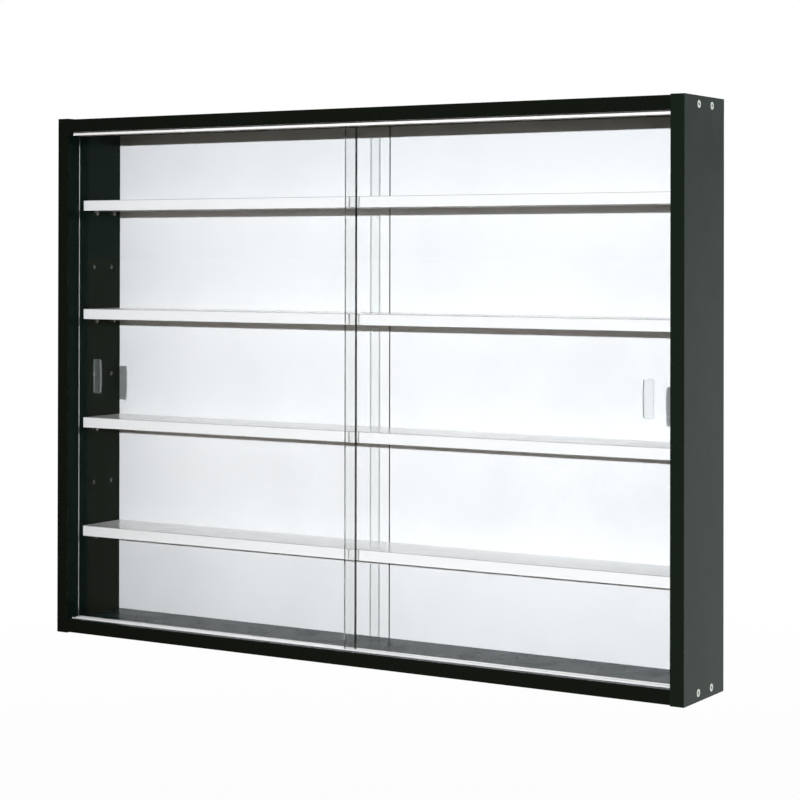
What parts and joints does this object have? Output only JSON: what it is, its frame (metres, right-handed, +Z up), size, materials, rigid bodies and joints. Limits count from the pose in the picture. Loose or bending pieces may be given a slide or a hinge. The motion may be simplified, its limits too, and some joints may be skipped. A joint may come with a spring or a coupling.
{
  "type": "wall-mounted display case",
  "caption": "Shallow black wall display case with white adjustable shelves, a white back and two sliding glass panes that run in plastic tracks.",
  "frame": {"origin": "centre of the flat rear face that lies against the wall", "axes": "+X to the right seen from the front, +Y towards the wall, +Z up; the glass front faces -Y"},
  "size_m": [0.8, 0.1, 0.602],
  "materials": {
    "black_board": "black melamine-faced chipboard, satin with a fine grain",
    "black_band": "black plastic edge banding, smooth satin",
    "white_board": "white melamine-faced chipboard, satin",
    "white_band": "white plastic edge banding, smooth satin",
    "hardboard": "white lacquered front, raw brown hardboard behind",
    "white_plastic": "white extruded plastic",
    "clear_glass": "clear float glass with ground edges",
    "clear_plastic": "clear moulded plastic",
    "clear_tape": "clear double-sided adhesive",
    "zinc_steel": "bright zinc-plated steel",
    "nickel_steel": "nickel-plated steel"
  },
  "bodies": {
    "case": {"side_panel_left": "black_board", "side_panel_right": "black_board", "top_board": "black_board", "bottom_board": "black_board", "side_band_left": "black_band", "side_band_right": "black_band", "top_band": "black_band", "bottom_band": "black_band", "shelf_1": "white_board", "shelf_2": "white_board", "shelf_3": "white_board", "shelf_4": "white_board", "shelf_bands": "white_band", "back_panel": "hardboard", "upper_track": "white_plastic", "lower_track": "white_plastic", "case_screws_left": "zinc_steel", "case_screws_right": "zinc_steel", "hanger_left": "zinc_steel", "hanger_right": "zinc_steel", "hanger_screws": "zinc_steel", "back_nails": "zinc_steel", "shelf_pins_1": "nickel_steel", "shelf_pins_2": "nickel_steel", "shelf_pins_3": "nickel_steel", "shelf_pins_4": "nickel_steel"},
    "left_door": {"pane_left": "clear_glass", "grip_left": "clear_plastic", "grip_tape_left": "clear_tape"},
    "right_door": {"pane_right": "clear_glass", "grip_right": "clear_plastic", "grip_tape_right": "clear_tape"}
  },
  "joints": [
    {"name": "left_pane_slide", "type": "slide", "parent": "case", "child": "left_door", "axis": [1, 0, 0], "range_m": [0, 0.3797]},
    {"name": "right_pane_slide", "type": "slide", "parent": "case", "child": "right_door", "axis": [1, 0, 0], "range_m": [-0.3797, 0]}
  ]
}
